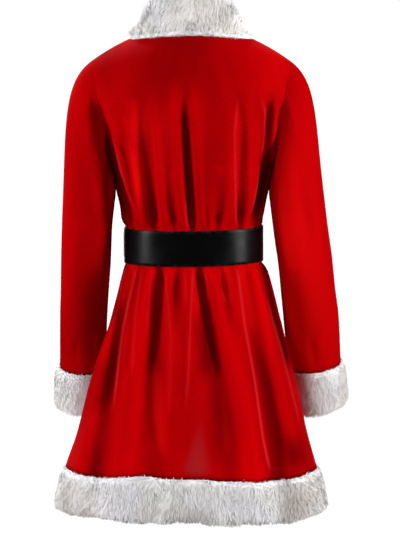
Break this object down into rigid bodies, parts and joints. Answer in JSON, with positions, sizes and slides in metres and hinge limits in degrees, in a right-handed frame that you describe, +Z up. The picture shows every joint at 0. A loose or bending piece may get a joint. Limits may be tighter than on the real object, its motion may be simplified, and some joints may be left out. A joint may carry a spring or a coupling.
{
  "type": "santa suit dress",
  "caption": "Worn hollow long-sleeved A-line velvet dress with a standing fur collar, fur cuffs and hem, cinched by a wide belt; it dresses a figure.",
  "frame": {"origin": "midway between the two neck points of the shoulder seams, where the wearer's shoulders hold the dress", "axes": "+Z up, the front faces -Y, the wearer's left is +X"},
  "size_m": [0.5645, 0.375, 0.9823],
  "materials": {
    "back_panel": "soft sheen velvet",
    "front_panel": "soft sheen velvet",
    "sleeve_left": "soft sheen velvet",
    "sleeve_right": "soft sheen velvet",
    "collar_left": "matte long-pile fur",
    "collar_right": "matte long-pile fur",
    "cuff_left": "matte long-pile fur",
    "cuff_right": "matte long-pile fur",
    "hem_trim": "matte long-pile fur",
    "belt_strap": "smooth satin leatherette",
    "belt_buckle": "polished gold tone"
  },
  "bodies": {
    "root": {"back_panel": "back_panel", "front_panel": "front_panel", "sleeve_left": "sleeve_left", "sleeve_right": "sleeve_right", "collar_left": "collar_left", "collar_right": "collar_right", "cuff_left": "cuff_left", "cuff_right": "cuff_right", "hem_trim": "hem_trim", "belt_strap": "belt_strap", "belt_buckle": "belt_buckle"}
  },
  "joints": []
}
